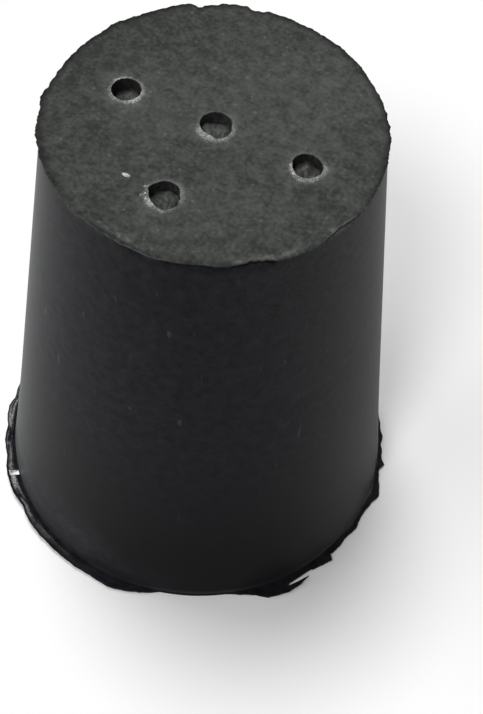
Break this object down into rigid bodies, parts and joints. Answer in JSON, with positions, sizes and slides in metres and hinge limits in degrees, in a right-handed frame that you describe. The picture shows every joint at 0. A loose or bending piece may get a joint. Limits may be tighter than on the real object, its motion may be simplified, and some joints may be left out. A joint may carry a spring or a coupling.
{
  "type": "rubber stopper",
  "caption": "Tapered black rubber stopper with small holes through it from end to end, a torn rim of moulding flash round its wide end and a ragged lip round its narrow end.",
  "frame": {"origin": "centre of the wide end's face, where the axis of the centre hole leaves it", "axes": "+Z along the axis from the wide end up to the narrow end, +X along the row of holes towards one of the outer holes"},
  "size_m": [0.0252, 0.0252, 0.03],
  "materials": {
    "rubber": "matte moulded black rubber, greyer and mottled on the narrow face, pale where it is torn"
  },
  "bodies": {
    "root": {"stopper": "rubber"}
  },
  "joints": []
}
